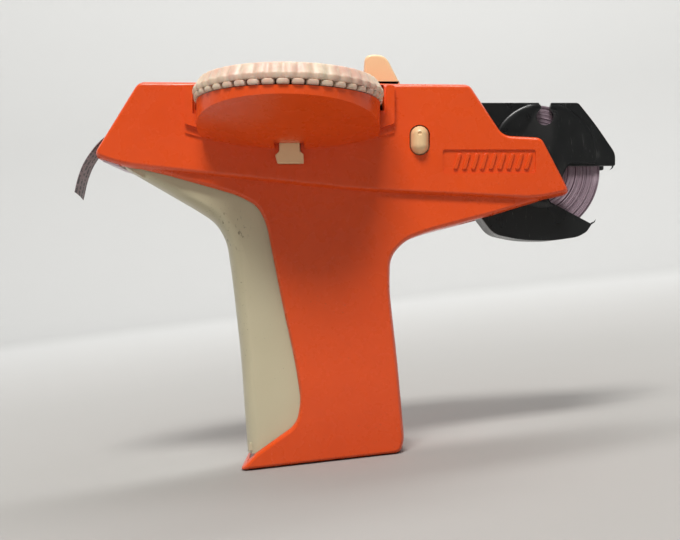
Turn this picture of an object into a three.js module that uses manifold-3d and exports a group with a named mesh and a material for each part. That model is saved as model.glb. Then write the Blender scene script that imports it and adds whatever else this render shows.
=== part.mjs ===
// Hand-held label embossing gun.
//
// Every piece is drawn in the head frame: X runs from the nose to the cassette, Y from the dial side
// to the plain side, Z up, with the middle of the gun at y = 0. The whole is then turned by the rake
// of the handle and set down, so that the flat handle base lies on z = 0 with its centre at the origin.

import * as THREE from 'three';
import { mergeVertices } from 'three/addons/utils/BufferGeometryUtils.js';
import Module from 'manifold-3d';

// Driving dimensions, in millimetres and degrees.
const headHalf = 17;
const handleHalf = 15;
const wall = 2.2;
const gap = 0.3;
const rakeDegrees = 6.5;
const baseCentre = { x: -5.4, z: -67.9 };

const dial = { x: -17.6, y: -23, radius: 32.7, topRadius: 30, scallops: 42, scallopDepth: 0.55 };
const dialTop = 64.5;
const tape = { half: 6, thickness: 0.25, bottom: 59.15 };
const saucer = { radius: 31.3, rim: 57.1, skin: 1.7, lowest: 42.3 };
const pivot = { x: -77.5, z: 40.5, pinRadius: 1.5, hubRadius: 3.4 };
const press = { x: -17.6, radius: 3, top: 54.6 };
const feed = { x: -52.5, z: 54, radius: 4.4 };
const pinch = { x: -52.5, z: 61.6, radius: 1.9 };
const lever = { x: 15.5, z: 55.2 };
const button = { x: 27.9, z: 45.5, halfWidth: 3.2, halfHeight: 5 };
const latch = { x: -17.6, halfWidth: 5.2, bottom: 36.8, top: 45.7 };
const roll = { x: 70.4, z: 36, radius: 23.8, coreRadius: 7.8 };
const cassette = { outer: 7.6, inner: 6.3 };
const screwPlaces = [[-40, 41.6], [33, 30], [9, 9], [13, -52]];

// Materials.
const plastic = (color, roughness) => new THREE.MeshStandardMaterial({ color, roughness, metalness: 0 });
const metal = (color) => new THREE.MeshStandardMaterial({ color, roughness: 0.35, metalness: 0.9 });
const orange = plastic(0xd94f20, 0.28);
const cream = plastic(0xbdb48f, 0.4);
const dialCream = plastic(0xe9d5bd, 0.45);
const warmCream = plastic(0xe9bf88, 0.35);
const black = plastic(0x151717, 0.4);
const lilac = plastic(0xd8c4cc, 0.5);
const rubber = plastic(0x2a2a2a, 0.8);
const tapePlastic = plastic(0x8f7f90, 0.45);
const steel = metal(0x9a9c9e);

const wasm = await Module();
wasm.setup();

const gun = new THREE.Group();
const head = new THREE.Group();
gun.add(head);

// Solids and booleans.
function solid(geometry) {
  const bare = geometry.clone();
  bare.deleteAttribute('normal');
  bare.deleteAttribute('uv');
  const merged = mergeVertices(bare, 1e-4);
  const mesh = new wasm.Mesh({
    numProp: 3,
    vertProperties: new Float32Array(merged.attributes.position.array),
    triVerts: new Uint32Array(merged.index.array),
  });
  return new wasm.Manifold(mesh);
}

function join(first, ...others) {
  return others.reduce((all, other) => all.add(other), first);
}

function cut(first, ...others) {
  return others.reduce((all, other) => all.subtract(other), first);
}

function piece(name, shape, material) {
  const data = shape.getMesh();
  const geometry = new THREE.BufferGeometry();
  geometry.setAttribute('position', new THREE.BufferAttribute(data.vertProperties, 3));
  geometry.setIndex(new THREE.BufferAttribute(data.triVerts, 1));
  const mesh = new THREE.Mesh(geometry, material);
  mesh.name = name;
  head.add(mesh);
  return mesh;
}

// An outline through corners [x, z, fillet radius], as a THREE.Shape.
function outline(corners) {
  const points = corners.map(([x, z]) => new THREE.Vector2(x, z));
  const shape = new THREE.Shape();
  corners.forEach(([, , radius = 0], i) => {
    const here = points[i];
    const before = points[(i + points.length - 1) % points.length];
    const after = points[(i + 1) % points.length];
    const back = before.clone().sub(here);
    const ahead = after.clone().sub(here);
    const reach = Math.min(radius, back.length() * 0.45, ahead.length() * 0.45);
    const from = here.clone().addScaledVector(back.normalize(), reach);
    const to = here.clone().addScaledVector(ahead.normalize(), reach);
    if (i === 0) shape.moveTo(from.x, from.y);
    else shape.lineTo(from.x, from.y);
    if (reach > 0) shape.quadraticCurveTo(here.x, here.y, to.x, to.y);
  });
  shape.closePath();
  return shape;
}

// The same corners moved inwards by depth; the corners run anticlockwise.
function inset(corners, depth) {
  const points = corners.map(([x, z]) => new THREE.Vector2(x, z));
  return corners.map(([, , radius = 0], i) => {
    const before = points[(i + points.length - 1) % points.length];
    const after = points[(i + 1) % points.length];
    const along1 = points[i].clone().sub(before).normalize();
    const along2 = after.clone().sub(points[i]).normalize();
    const inward1 = new THREE.Vector2(-along1.y, along1.x);
    const inward2 = new THREE.Vector2(-along2.y, along2.x);
    const reach = depth / (1 + inward1.dot(inward2));
    const moved = points[i].clone().addScaledVector(inward1.add(inward2), reach);
    return [moved.x, moved.y, Math.max(radius - depth, 0)];
  });
}

// The corners without one of them, where the wall's inside would be too short for it.
function without(corners, index) {
  return corners.filter((corner, i) => i !== index);
}

// An outline in X and Z, extruded from y = from to y = to, with an optional rounded edge.
function plate(corners, from, to, edge = null, curveSegments = 4) {
  const shape = Array.isArray(corners) ? outline(corners) : corners;
  const thickness = edge ? edge.deep : 0;
  const geometry = new THREE.ExtrudeGeometry(shape, {
    depth: to - from - 2 * thickness,
    curveSegments,
    bevelEnabled: Boolean(edge),
    bevelThickness: thickness,
    bevelSize: edge ? edge.wide : 0,
    bevelOffset: edge ? edge.offset : 0,
    bevelSegments: edge ? edge.segments : 1,
  });
  geometry.rotateX(Math.PI / 2);
  geometry.translate(0, to - thickness, 0);
  return solid(geometry);
}

function box(x0, x1, y0, y1, z0, z1) {
  const geometry = new THREE.BoxGeometry(x1 - x0, y1 - y0, z1 - z0);
  geometry.translate((x0 + x1) / 2, (y0 + y1) / 2, (z0 + z1) / 2);
  return solid(geometry);
}

function rodY(x, z, radius, y0, y1, sides = 20) {
  const geometry = new THREE.CylinderGeometry(radius, radius, y1 - y0, sides);
  geometry.translate(x, (y0 + y1) / 2, z);
  return solid(geometry);
}

function rodZ(x, y, radius, z0, z1, sides = 20) {
  const geometry = new THREE.CylinderGeometry(radius, radius, z1 - z0, sides);
  geometry.rotateX(Math.PI / 2);
  geometry.translate(x, y, (z0 + z1) / 2);
  return solid(geometry);
}

// A profile of [radius, z] pairs turned about a vertical axis.
function turned(profile, x, y, sides = 28) {
  const points = profile.map(([r, z]) => new THREE.Vector2(r, z));
  const geometry = new THREE.LatheGeometry(points, sides);
  geometry.rotateX(Math.PI / 2);
  geometry.translate(x, y, 0);
  return solid(geometry);
}

// A toothed or slotted disc: radius as a function of the share of a turn.
function rimDisc(radiusAt, steps, x, y, z0, z1, hole) {
  const shape = new THREE.Shape();
  for (let i = 0; i < steps; i += 1) {
    const angle = (i / steps) * Math.PI * 2;
    const r = radiusAt(i);
    if (i === 0) shape.moveTo(r * Math.cos(angle), r * Math.sin(angle));
    else shape.lineTo(r * Math.cos(angle), r * Math.sin(angle));
  }
  const geometry = new THREE.ExtrudeGeometry(shape, { depth: z1 - z0, bevelEnabled: false });
  geometry.translate(x, y, z0);
  return cut(solid(geometry), rodZ(x, y, hole, z0 - 1, z1 + 1));
}

class Helix extends THREE.Curve {
  constructor(radius, length, turns) {
    super();
    this.radius = radius;
    this.length = length;
    this.turns = turns;
  }

  getPoint(t, target = new THREE.Vector3()) {
    const angle = t * this.turns * Math.PI * 2;
    return target.set(this.radius * Math.cos(angle), this.radius * Math.sin(angle), t * this.length);
  }
}

// A coil spring along Z from the origin.
function coil(radius, length, turns, wire) {
  const section = new THREE.Shape();
  section.absarc(0, 0, wire, 0, Math.PI * 2);
  return new THREE.ExtrudeGeometry(section, {
    steps: turns * 7,
    curveSegments: 3,
    bevelEnabled: false,
    extrudePath: new Helix(radius, length, turns),
  });
}

// Outlines. The head is the wedge-nosed upper body, the grip is the keel below it and the handle.
const headCorners = [
  [-86.1, 41.3, 3], [-84.7, 39.2, 1], [-76.3, 36.8, 4], [7, 27.4, 30], [69, 24.9, 4], [80.9, 27.3, 3],
  [70.9, 46.6, 3.5], [57.4, 47.3, 4.2], [45.5, 65.3, 3], [-71, 66.2, 4],
];
const frontEdge = [
  [-76.8, 37.1], [-60.9, 33.3], [-45.2, 28.9], [-36, 26.2, 6], [-29.2, 22.4, 5], [-26.2, 16, 5],
  [-20.1, -14.7, 10], [-16.3, -31.6, 10], [-14.1, -46, 3], [-15.4, -54.4, 4], [-29.8, -64.7],
];
const rearEdge = [
  [-34.3, -69.2], [-32.6, -71], [21.8, -64.8, 3.5], [22.9, -59.9, 8], [20.4, -31.7, 20],
  [17.6, -7, 8], [17.9, 4.5, 7], [23, 10.4, 5], [31, 13.4, 8], [54.7, 19.6], [69.3, 24], [80, 27.6],
];
const gripCorners = [...frontEdge, ...rearEdge, [70, 40], [-70, 46]];

// The wall opens where the trigger lies and where the cassette goes in.
const triggerBay = [
  [-83, 42.5], [-83.6, 36], [-60, 10], [-46, -62], [-38, -66.6], [-32.7, -68.2], [-22, -66.2],
  [-9, -58], [-10.5, -45], [-12.5, -30], [-16.5, -13], [-22.5, 18], [-26, 26], [-36, 31], [-60, 38],
];

const bodyEdge = { deep: 6, wide: 2, offset: -1.5, segments: 2 };
const gripEdge = { deep: 4, wide: 1.6, offset: -1.6, segments: 2 };

function bodyShell() {
  const outside = join(
    plate(headCorners, -headHalf, headHalf, bodyEdge),
    plate(gripCorners, -handleHalf, handleHalf, gripEdge, 3),
  );
  const inside = (corners) => inset(corners, wall);
  const headSpace = plate(inside(without(headCorners, 1)), wall - headHalf, headHalf - wall);
  const gripSpace = plate(
    inside(without(gripCorners, frontEdge.length)), wall - handleHalf, handleHalf - wall, null, 3);
  const bay = plate(triggerBay, wall + 0.2 - handleHalf, handleHalf - wall - 0.2);
  const cassetteBay = box(43.6, 110, -9, 9, 2, 80);
  const rearOpening = plate(
    [[43.6, 30], [90, 30], [90, 60], [43.6, 63]], wall - headHalf, headHalf - wall);
  const dialRoom = rodZ(dial.x, dial.y, dial.radius + 0.9, saucer.rim - 1.3, dialTop + 0.45, 36);
  const dialSide = box(-60, 30, 0.5 - headHalf, 20, 50, 70);
  const noseSlit = plate([[-95, 43], [-78, 46], [-70, 56], [-70, 60], [-80, 60]], -7, 7);
  return cut(outside, headSpace, gripSpace, bay, cassetteBay, rearOpening,
    dialRoom.intersect(dialSide), noseSlit);
}

// Height of the saucer's underside at a place x, y; it is lowest where it meets the head.
function saucerFloor(x, y) {
  const out = Math.max(0, -headHalf - y) / (saucer.radius - dial.y - headHalf);
  const across = (x - dial.x) / 36.7;
  return saucer.lowest + 12 * out ** 1.2 + 5.7 * across ** 2;
}

// A round block about the dial axis whose bottom follows the saucer floor, raised by lift.
function saucerBlock(radius, top, lift) {
  const rings = 4;
  const sides = 36;
  const positions = [dial.x, dial.y, top, dial.x, dial.y, saucerFloor(dial.x, dial.y) + lift];
  const index = [];
  const at = (ring, side, upper) => 2 + ((ring - 1) * sides + (side % sides)) * 2 + upper;
  for (let ring = 1; ring <= rings; ring += 1) {
    for (let side = 0; side < sides; side += 1) {
      const angle = (side / sides) * Math.PI * 2;
      const x = dial.x + (radius * ring * Math.cos(angle)) / rings;
      const y = dial.y + (radius * ring * Math.sin(angle)) / rings;
      positions.push(x, y, saucerFloor(x, y) + lift, x, y, top);
    }
  }
  for (let side = 0; side < sides; side += 1) {
    index.push(0, at(1, side, 1), at(1, side + 1, 1), 1, at(1, side + 1, 0), at(1, side, 0));
    for (let ring = 1; ring < rings; ring += 1) {
      const [a, b] = [at(ring, side, 1), at(ring, side + 1, 1)];
      const [c, d] = [at(ring + 1, side, 1), at(ring + 1, side + 1, 1)];
      index.push(a, c, b, b, c, d, a - 1, b - 1, c - 1, b - 1, d - 1, c - 1);
    }
    const [low, high] = [at(rings, side, 0), at(rings, side, 1)];
    const [nextLow, nextHigh] = [at(rings, side + 1, 0), at(rings, side + 1, 1)];
    index.push(low, nextLow, high, nextLow, nextHigh, high);
  }
  const geometry = new THREE.BufferGeometry();
  geometry.setAttribute('position', new THREE.Float32BufferAttribute(positions, 3));
  geometry.setIndex(index);
  return solid(geometry);
}

// The two pads that frame the ends of the dial slot; side is -1 at the nose end, +1 at the other.
function pad(side) {
  const at = (reach, z, radius) => [dial.x + side * reach, z, radius];
  const corners = [at(36.6, 64.3, 0.6), at(33.7, 64.3), at(33.7, 54.4), at(30, 54.4),
    at(30, 48.9), at(36.6, 51)];
  return plate(side < 0 ? corners : corners.reverse(), -headHalf - 2, -headHalf + 1);
}

function backPlate() {
  const shape = new THREE.Shape();
  shape.moveTo(dial.x + 36.6, 52);
  shape.lineTo(dial.x - 36.6, 52);
  shape.lineTo(dial.x - 36.6, 48);
  shape.quadraticCurveTo(dial.x, 37, dial.x + 36.6, 48);
  shape.closePath();
  return plate(shape, -headHalf - 0.6, -headHalf + 1, null, 10);
}

function bosses(radius, from, to) {
  return screwPlaces.map(([x, z]) => rodY(x, z, radius, from, to, 16));
}

function makeHousing() {
  const shell = bodyShell();
  const split = gap / 2;
  const bossEnd = 0.1 - handleHalf;
  const pinSeat = rodY(pivot.x, pivot.z, pivot.pinRadius + gap, -14.8, 14.8);

  const bowl = cut(
    saucerBlock(saucer.radius, saucer.rim, 0),
    saucerBlock(saucer.radius - saucer.skin, saucer.rim + 5, saucer.skin),
  ).intersect(box(-60, 30, -60, -headHalf + 1, 30, 60));
  const recess = box(36, 68.5, -headHalf - 1, -headHalf + 0.6, 33.9, 42.2);
  const ovalHole = plate([
    [button.x - 3.5, button.z - 5.3, 3.4], [button.x + 3.5, button.z - 5.3, 3.4],
    [button.x + 3.5, button.z + 5.3, 3.4], [button.x - 3.5, button.z + 5.3, 3.4],
  ], -20, -10);
  const latchWindow = box(latch.x - latch.halfWidth, latch.x + latch.halfWidth,
    -27, -14, latch.bottom, latch.top);
  const latchSlot = box(latch.x - 4, latch.x + 4, -19.3, -14, latch.top - 1, 50.5);
  const tabStart = baseCentre.x - 6;
  const tabEnd = baseCentre.x + 6;
  const tab = box(tabStart, tabEnd, -4, 1, -75, -62);
  const tabRoom = box(tabStart - gap, tabEnd + gap, -4 - gap, 1, -75, -60);
  const nearHalf = shell.intersect(box(-120, 120, -60, -split, -90, 90)).subtract(tabRoom);
  const left = cut(
    join(nearHalf, bowl, backPlate(), pad(-1), pad(1), ...bosses(3.2, bossEnd, -split)),
    recess, ovalHole, latchWindow, latchSlot, pinSeat, ...bosses(1.6, -12, 0),
    box(-60, 30, -headHalf - 1, -10, saucer.rim - 1.3, dialTop + 0.45).intersect(
      rodZ(dial.x, dial.y, dial.radius + 0.9, 40, 70, 48)),
  );
  piece('left_housing', left, orange);

  const farHalf = shell.intersect(join(box(-120, 120, split, 60, -90, 90), tab));
  const leverSlot = box(6, 25.5, 6.6, 13.4, 60, 75);
  const right = cut(
    join(farHalf, ...bosses(3.2, split, -bossEnd)),
    leverSlot, pinSeat, ...bosses(1.75, -1, 20), ...bosses(3.1, 12.5, 20),
  );
  piece('right_housing', right, orange);

  screwPlaces.forEach(([x, z], i) => {
    const screw = join(rodY(x, z, 1.3, -11, 13.5, 10), rodY(x, z, 2.8, 12.8, 14.4, 16));
    const slot = box(x - 3, x + 3, 13.7, 16, z - 0.4, z + 0.4);
    piece(`housing_screw_${i + 1}`, cut(screw, slot), steel);
  });
}

function makeTrigger() {
  const front = [
    [-80.6, 36.9], [-63.9, 28.3], [-52, 21.4, 4], [-45.4, 17, 6], [-41.5, 10.2, 6], [-39.5, -3.4, 8],
    [-36.3, -31.5, 8], [-34.7, -55.4], [-33.9, -66.2], [-20, -63.2], [-9.5, -57, 3],
  ];
  const back = [
    [-9, -50, 2], [-11, -31], [-14.8, -14], [-19, 6], [-22, 21, 5], [-34, 29.5, 6], [-60, 36.8],
    [-74, 41],
  ];
  const body = plate([...front, ...back], -12, 12, { deep: 2.4, wide: 1.3, offset: -1.3, segments: 1 }, 3);
  const channel = plate([
    [-70, 33.6], [-63, 30.4], [-50, 23], [-43, 17, 4], [-39, 10, 4], [-37, -3.4], [-34, -31.5],
    [-32.4, -55.4], [-31.6, -63.4], [0, -56], [0, 30], [-30, 46], [-66, 44],
  ], -9.8, 9.8, null, 3);
  const hub = rodY(pivot.x, pivot.z, pivot.hubRadius, -12, 12);
  const neck = plate([[-80.6, 39], [-80.2, 36.6], [-70, 33], [-66, 39], [-74, 42.5]], -12, 12);
  const horn = plate([[-48.5, 19.6], [-43.6, 15.2], [-12.5, 26.5], [-12.5, 29.5], [-46, 29.5]], -3.5, 3.5);
  const hole = rodY(pivot.x, pivot.z, pivot.pinRadius + gap, -15, 15);
  const pawlPost = join(box(-60, -58, 6, 7.2, 26.5, 42), rodY(-59, 41, 0.8, 6, 9.2, 12));
  const trigger = cut(join(cut(body, channel), hub, neck, horn, pawlPost), hole);
  piece('trigger', trigger, cream);
  piece('trigger_pivot_pin', rodY(pivot.x, pivot.z, pivot.pinRadius, -14.5, 14.5), steel);

  const spring = coil(4.2, 49, 8, 0.6);
  spring.rotateY(Math.PI / 2);
  spring.translate(-33, 0, -25);
  piece('trigger_spring', solid(spring), steel);

  const pawl = plate([
    [-60.4, 40, 1], [-57.6, 40, 1], [-58.9, 51, 0], [-58.7, 54, 0], [-60.2, 52.5, 0],
  ], 7.6, 8.8);
  piece('feed_pawl', cut(join(pawl, rodY(-59, 41, 2, 7.6, 8.8, 14)), rodY(-59, 41, 1.1, 7, 9, 12)), steel);
}

function makeDial() {
  const scallop = (i) => dial.radius - (i % 2) * dial.scallopDepth;
  const rim = rimDisc(scallop, dial.scallops * 2, dial.x, dial.y, 59.7, 61, 4.3);
  const crown = turned([
    [4.3, 60.5], [dial.radius - dial.scallopDepth - 0.2, 60.5], [dial.topRadius + 1, 63.7],
    [dial.topRadius, dialTop], [4.3, dialTop], [4.3, 60.5],
  ], dial.x, dial.y, dial.scallops);
  piece('dial_letter_disc', join(rim, crown), dialCream);

  const slotted = (i) => (i % 3 === 0 ? 25 : dial.radius - 0.6);
  const fingers = rimDisc(slotted, dial.scallops * 3, dial.x, dial.y, 57.75, 58.9, 4.3);
  piece('dial_finger_disc', fingers, dialCream);

  piece('dial_hub', turned([
    [0, 64.4], [2.9, 64.4], [2.9, 54], [4, 54], [4, 64.9], [5.4, 64.9], [5.4, 65.4], [4.4, 66], [0, 66.1],
  ], dial.x, dial.y, 20), dialCream);
  piece('dial_axle', turned([
    [0, 46.8], [3.9, 46.8], [3.9, 48.8], [2.6, 49.5], [2.6, 63.2], [1.8, 64], [0, 64],
  ], dial.x, dial.y), steel);

  const spring = plate([
    [-25, 47.4], [-25, 48.2], [-30.6, 48.4], [-40.2, 56.3, 1], [-42.6, 57.3, 1], [-44.6, 55.6],
    [-44.1, 55], [-42.4, 56.5], [-40.8, 55.6], [-31, 47.6],
  ].reverse(), -26, -21.5);
  piece('dial_detent_spring', spring, steel);
}

function makeLatch() {
  const { x, bottom } = latch;
  const face = plate([
    [x + 5, bottom + 0.3], [x + 4.9, bottom + 3.6], [x + 3.6, bottom + 4.6], [x + 3.6, bottom + 10.2],
    [x - 3.6, bottom + 10.2], [x - 3.6, bottom + 4.6], [x - 5, bottom + 3.2], [x - 4.2, bottom + 0.3],
  ], -18.8, -14.2);
  const flange = box(x - 7.5, x + 7.5, -14.4, -13.2, bottom - 0.6, bottom + 6);
  piece('dial_latch', join(face, flange), warmCream);
}

function makePress() {
  const { x, radius } = press;
  const plunger = join(
    turned([[0, 36], [radius, 36], [radius, 53.4], [2.4, press.top], [0, press.top]], x, 0, 20),
    rodZ(x, 0, 5, 51.6, 52.6, 20),
  );
  piece('press_plunger', plunger, steel);
  const spring = coil(4.2, 4.6, 3, 0.4);
  spring.translate(x, 0, 46.5);
  piece('press_spring', solid(spring), steel);

  const side = plate([
    [-60, 42.5, 2], [-46, 42.5], [-45, 46], [-34, 46], [-33, 40.5], [22, 40.5, 2], [44, 46, 2],
    [44, 62.5, 2], [27, 62.5], [26, 50], [5, 50], [4, 62.5], [-60, 62.5, 2],
  ], 12.6, 14.2);
  const arm = cut(box(x - 6, x + 6, -5, 13, 42, 45.6), rodZ(x, 0, radius + gap, 40, 48));
  const holes = [rodY(feed.x, feed.z, 1.9, 10, 20), rodY(pinch.x, pinch.z, 1.1, 10, 20)];
  const guideArm = box(30, 40, 6, 13, 57.3, 58.4);
  piece('mechanism_frame', cut(join(side, arm, guideArm), ...holes), steel);
}

function makeFeed() {
  piece('feed_roller', cut(rodY(feed.x, feed.z, feed.radius, -6.2, 6.2, 28),
    rodY(feed.x, feed.z, 1.9, -8, 8)), rubber);
  piece('feed_shaft', rodY(feed.x, feed.z, 1.55, -14.2, 14.2), steel);
  const teeth = new THREE.Shape();
  for (let i = 0; i < 14; i += 1) {
    const angle = (i / 14) * Math.PI * 2;
    const next = ((i + 0.2) / 14) * Math.PI * 2;
    if (i === 0) teeth.moveTo(5.4 * Math.cos(angle), 5.4 * Math.sin(angle));
    else teeth.lineTo(5.4 * Math.cos(angle), 5.4 * Math.sin(angle));
    teeth.lineTo(4.4 * Math.cos(next), 4.4 * Math.sin(next));
  }
  const ratchet = plate(teeth, 7.4, 8.8).translate([feed.x, 0, feed.z]);
  piece('ratchet_wheel', cut(ratchet, rodY(feed.x, feed.z, 1.85, 5, 10)), steel);
  piece('pinch_roller', cut(rodY(pinch.x, pinch.z, pinch.radius, -6.2, 6.2),
    rodY(pinch.x, pinch.z, 1.1, -8, 8, 14)), rubber);
  piece('pinch_shaft', rodY(pinch.x, pinch.z, 0.8, -14.2, 14.2, 12), steel);
}

function makeCutter() {
  const leverBody = join(
    rodY(lever.x, lever.z, 4.2, 7.7, 12),
    plate([[9.2, 69], [9.4, 62], [11.5, 55], [19.5, 55], [22, 62], [22.6, 69]], 7.7, 12),
    plate([[8.9, 68.9], [22.6, 68.9], [16.6, 80.2, 2.6], [9.1, 80.2, 2.6]], 1.6, 12.6,
      { deep: 1, wide: 0.8, offset: -0.8, segments: 1 }),
    plate([[13.5, 54], [14.3, 48], [16.7, 48], [17.5, 54]], 7.7, 9.3),
  );
  piece('cut_lever', cut(leverBody, rodY(lever.x, lever.z, 1.7, 5, 15, 14)), warmCream);
  piece('cut_lever_pin', rodY(lever.x, lever.z, 1.35, 4, 14.2, 14), steel);
  const spring = coil(2.3, 2.6, 3, 0.35);
  spring.rotateX(Math.PI / 2);
  spring.translate(lever.x, 7.2, lever.z);
  piece('cut_lever_spring', solid(spring), steel);

  const link = join(box(-64, 11.5, 9.8, 11.2, 46.7, 49.3), box(-66, -64, 7.6, 11.2, 46.7, 49.3));
  piece('cutter_link', link, steel);
  const blade = plate([[-67.8, 46.3], [-67, 46.3], [-67, 54.6], [-67.8, 53.8]], -7, 7);
  piece('cutter_blade', join(blade, box(-67.8, -67, 6, 9.6, 46.3, 48.6)), steel);
}

function makeButton() {
  const { x, z, halfWidth, halfHeight } = button;
  const oval = [
    [x - halfWidth, z - halfHeight, 3.1], [x + halfWidth, z - halfHeight, 3.1],
    [x + halfWidth, z + halfHeight, 3.1], [x - halfWidth, z + halfHeight, 3.1],
  ];
  const dome = plate(oval, -20, -13, { deep: 2.2, wide: 1.7, offset: -1.7, segments: 3 }, 5);
  const flange = box(x - 5, x + 5, -14.5, -13, z - 7, z + 7);
  const keep = box(x - 20, x + 20, -30, -13, z - 20, z + 20);
  piece('release_button', join(dome.intersect(keep), flange, rodY(x, z, 1.5, -13.2, -10.8, 14)), warmCream);
  const spring = coil(2.6, 4.2, 3, 0.35);
  spring.rotateX(Math.PI / 2);
  spring.translate(x, -8.4, z);
  piece('release_button_spring', solid(spring), steel);
  piece('release_leaf', box(22, 43.4, -8, -7.2, 41.5, 49.5), steel);
}

function makeTape() {
  const { half, thickness, bottom } = tape;
  const strip = [
    [-46, bottom], [20, bottom], [46, bottom + 0.55], [63, 60.25], [63, 60.25 + thickness],
    [46, bottom + 0.55 + thickness], [20, bottom + thickness], [-46, bottom + thickness],
  ];
  piece('tape_leader', plate(strip, -half, half), tapePlastic);

  const path = new THREE.CatmullRomCurve3([
    [-47, 59.2], [-57, 59.1], [-66, 57.6], [-76, 53.4], [-83, 49.6], [-87.6, 46], [-92.2, 39.6],
    [-94.6, 33.6], [-96, 27.2],
  ].map(([x, z]) => new THREE.Vector3(x, 0, z)));
  const upper = [];
  const lower = [];
  for (let i = 0; i <= 20; i += 1) {
    const point = path.getPointAt(i / 20);
    const along = path.getTangentAt(i / 20);
    upper.push([point.x - (along.z * thickness) / 2, point.z + (along.x * thickness) / 2]);
    lower.push([point.x + (along.z * thickness) / 2, point.z - (along.x * thickness) / 2]);
  }
  piece('tape_tail', plate([...upper, ...lower.reverse()], -half, half), tapePlastic);

  const guide = cut(
    box(28, 43.6, -7.4, 5.6, 57.3, 61.4),
    plate([[26, 58.5], [46, 58.8], [46, 63], [26, 63]], -6.4, 9),
  );
  piece('tape_guide', guide, steel);
  piece('nose_guide', plate([
    [-83, 41.4], [-81.7, 38.6], [-80.7, 38.7], [-81.3, 41.8], [-80.5, 43.8], [-81.4, 44.5],
  ].reverse(), -11, 11), lilac);
}

function makeCassette() {
  const { outer, inner } = cassette;
  const side = [
    [44.2, 60.4, 1], [44.2, 28], [51.2, 18.5, 2], [55.3, 13, 3], [65.2, 10.8, 6], [76.3, 10.5, 6],
    [85.8, 11.9, 2], [89.1, 13.8, 1], [90.9, 16.6], [76, 24.5], [74, 28, 1], [80, 33, 1], [82.1, 37.5, 1],
    [99.3, 37.6, 1], [99.4, 42.1, 2], [92.1, 52.8, 6], [86, 60.4, 1],
  ];
  const clear = rodY(roll.x, roll.z, roll.radius + 0.5, -inner, inner, 48);
  const lowerWall = cut(plate(side, -inner - 0.2, inner + 0.2), clear).intersect(
    box(50, 91, -10, 10, 0, 19.5));
  const frontWall = box(44.2, 45.9, -inner - 0.2, inner + 0.2, 26, 57.5);
  const notch = (from, to) => join(rodY(73.8, 55.2, 3.1, from, to, 18), box(72.4, 75.3, from, to, 56, 62));
  const half = (from, to) => join(
    plate(side, from, to),
    join(lowerWall, frontWall).intersect(box(40, 110, Math.min(from, 0.15), Math.max(to, -0.15), 0, 70)),
  );
  const round = rodY(73.4, 41.5, 19, -outer - 0.8, -outer + 0.2, 48).intersect(
    plate(inset([...side].reverse(), 0.8).reverse(), -10, 0));
  const left = cut(
    join(half(-outer, -inner), round), notch(-12, -inner + 1), box(40, 110, -0.15, 10, 0, 70));
  piece('cassette_left_half', left, black);
  const post = rodY(roll.x, roll.z, 5, -5.8, inner + 0.2, 24);
  const right = join(half(inner, outer), post);
  piece('cassette_right_half', right, black);

  const ring = (radius, hole, sides) => cut(
    rodY(roll.x, roll.z, radius, -tape.half, tape.half, sides), rodY(roll.x, roll.z, hole, -9, 9, 20));
  piece('spool_core', ring(roll.coreRadius - gap, 5.4, 20), lilac);
  piece('tape_roll', ring(roll.radius, roll.coreRadius, 48), tapePlastic);
}

makeHousing();
makeTrigger();
makeDial();
makeLatch();
makePress();
makeFeed();
makeCutter();
makeButton();
makeTape();
makeCassette();

// Set the gun upright on its handle base.
const rake = THREE.MathUtils.degToRad(rakeDegrees);
gun.rotation.y = rake;
gun.position.set(
  -(baseCentre.x * Math.cos(rake) + baseCentre.z * Math.sin(rake)),
  0,
  baseCentre.x * Math.sin(rake) - baseCentre.z * Math.cos(rake),
);
gun.updateMatrixWorld(true);

export default gun;
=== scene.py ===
"""Looks of the hand-held label embossing gun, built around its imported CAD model.

Pieces are drawn in the head frame, in millimetres: X from the nose to the cassette, Y from the dial
side to the plain side, Z up. finish_piece() turns them by the handle's rake into the CAD frame.
"""

import contextlib
import math

import bmesh
import bpy
from mathutils import Matrix, Vector


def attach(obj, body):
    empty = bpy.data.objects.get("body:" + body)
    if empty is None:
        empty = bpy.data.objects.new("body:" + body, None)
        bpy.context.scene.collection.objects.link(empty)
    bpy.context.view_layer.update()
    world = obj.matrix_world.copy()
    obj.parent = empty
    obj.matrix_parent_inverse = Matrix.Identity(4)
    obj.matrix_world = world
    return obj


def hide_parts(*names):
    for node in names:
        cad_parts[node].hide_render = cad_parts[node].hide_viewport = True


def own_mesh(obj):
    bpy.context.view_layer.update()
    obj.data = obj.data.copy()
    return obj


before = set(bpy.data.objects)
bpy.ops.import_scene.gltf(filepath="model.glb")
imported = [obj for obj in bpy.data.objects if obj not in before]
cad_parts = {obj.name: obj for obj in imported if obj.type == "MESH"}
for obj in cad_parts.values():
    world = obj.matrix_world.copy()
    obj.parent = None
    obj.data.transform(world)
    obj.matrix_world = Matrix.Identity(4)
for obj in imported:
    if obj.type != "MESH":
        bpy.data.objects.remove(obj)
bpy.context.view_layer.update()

# Driving dimensions, in millimetres, as in the CAD model.
RAKE = math.radians(6.5)
BASE_CENTRE = Vector((-5.4, 0, -67.9))
HEAD_HALF = 17
HANDLE_HALF = 15
WALL = 2.2
GAP = 0.3
DIAL = Vector((-17.6, -23, 0))
DIAL_RADIUS = 32.7
DIAL_TOP = 64.5
DIAL_BORE = 4.4
SCALLOPS = 42
SAUCER_RADIUS = 31.3
SAUCER_RIM = 57.1
SAUCER_SKIN = 1.7
SAUCER_LOWEST = 42.3
SHOULDER = 36.6  # from the dial axis to the outer side of each pad beside the saucer
PIVOT = (-77.5, 40.5)
PIVOT_BORE = 1.8
BUTTON = (27.9, 45.5)
LATCH_X = -17.6
LATCH_BOTTOM = 36.8
LATCH_TOP = 45.7
ROLL = (70.4, 36)
ROLL_RADIUS = 23.8
CASSETTE_OUTER = 7.6
CASSETTE_INNER = 6.3
REAR_OPENING = 43.6  # where the rear of the head opens for the cassette
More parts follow.
